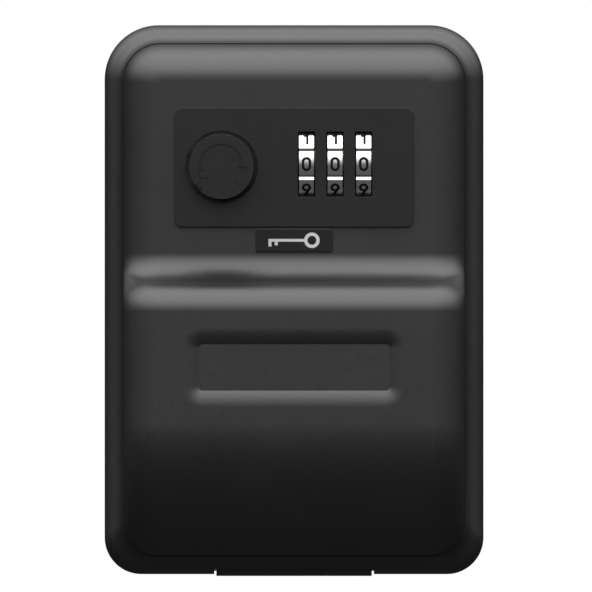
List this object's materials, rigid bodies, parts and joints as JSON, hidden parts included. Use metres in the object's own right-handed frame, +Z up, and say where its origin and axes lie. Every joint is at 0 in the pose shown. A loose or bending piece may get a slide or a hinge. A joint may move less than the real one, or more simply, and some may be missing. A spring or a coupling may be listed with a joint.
{
  "type": "key lock box",
  "caption": "Wall-mounted combination key lock box: a domed hinged door with number wheels and a turn knob closes a shallow case with key hooks.",
  "frame": {"origin": "centre of the case's wall face, at the middle of the door's outline", "axes": "+Z up the wall, +Y into the wall, so the front faces -Y and +X is to the right seen from the front"},
  "size_m": [0.098, 0.0574, 0.1425],
  "materials": {
    "shell_plastic": "semi-gloss, black",
    "black_zinc": "satin black",
    "badge_plastic": "gloss black",
    "dial_metal": "bright plated",
    "steel": "zinc plated",
    "zinc": "die cast, matt grey",
    "brass": "turned",
    "rubber": "matt",
    "red_plastic": "moulded"
  },
  "bodies": {
    "case": {"back_case": "shell_plastic", "hinge_pin": "steel", "seal_strip": "rubber", "striker_plate": "steel", "striker_screw_1": "steel", "striker_screw_2": "steel", "hook_strip": "steel", "hook_screw_1": "steel", "hook_screw_2": "steel"},
    "door": {"door_shell": "shell_plastic", "name_badge": "badge_plastic", "lock_face_plate": "black_zinc", "lock_body": "black_zinc", "lock_screw_1": "steel", "lock_screw_2": "steel", "dial_spindle": "steel", "spindle_spacer": "brass", "spindle_clip": "steel", "spindle_spring": "steel", "detent_spring": "steel", "lock_back_cover": "zinc", "cover_screw_1": "steel", "cover_screw_2": "steel", "cover_screw_3": "steel", "cover_screw_4": "steel", "shaft_bush": "brass", "reset_spring": "steel"},
    "dial_1": {"number_wheel_1": "dial_metal", "code_disc_1": "brass"},
    "dial_2": {"number_wheel_2": "dial_metal", "code_disc_2": "brass"},
    "dial_3": {"number_wheel_3": "dial_metal", "code_disc_3": "brass"},
    "knob": {"knob": "black_zinc", "knob_shaft": "steel", "drive_cam": "steel", "cam_spacer": "brass", "latch_cam": "steel", "cam_nut": "steel"},
    "fence": {"fence_bar": "brass"},
    "reset": {"reset_button": "red_plastic"}
  },
  "joints": [
    {"name": "door_hinge", "type": "hinge", "parent": "case", "child": "door", "pos_m": [0, -0.0226, -0.0693], "axis": [1, 0, 0], "range_deg": [0, 105]},
    {"name": "dial_1_turn", "type": "hinge", "parent": "door", "child": "dial_1", "pos_m": [0.0032, -0.0349, 0.0349], "axis": [1, 0, 0], "continuous": true},
    {"name": "dial_2_turn", "type": "hinge", "parent": "door", "child": "dial_2", "pos_m": [0.01056, -0.0349, 0.0349], "axis": [1, 0, 0], "continuous": true},
    {"name": "dial_3_turn", "type": "hinge", "parent": "door", "child": "dial_3", "pos_m": [0.01792, -0.0349, 0.0349], "axis": [1, 0, 0], "continuous": true},
    {"name": "knob_turn", "type": "hinge", "parent": "door", "child": "knob", "pos_m": [-0.0187, -0.0423, 0.0342], "axis": [0, 1, 0], "range_deg": [-90, 0]},
    {"name": "fence_slide", "type": "slide", "parent": "door", "child": "fence", "axis": [1, 0, 0], "range_m": [0, 0.0014]},
    {"name": "reset_press", "type": "slide", "parent": "door", "child": "reset", "axis": [0, -1, 0], "range_m": [0, 0.0018], "stiffness_N_per_m": 300}
  ],
  "couplings": [
    {"joint": "fence_slide", "follows": "knob_turn", "m_per_rad": -0.00089126}
  ]
}
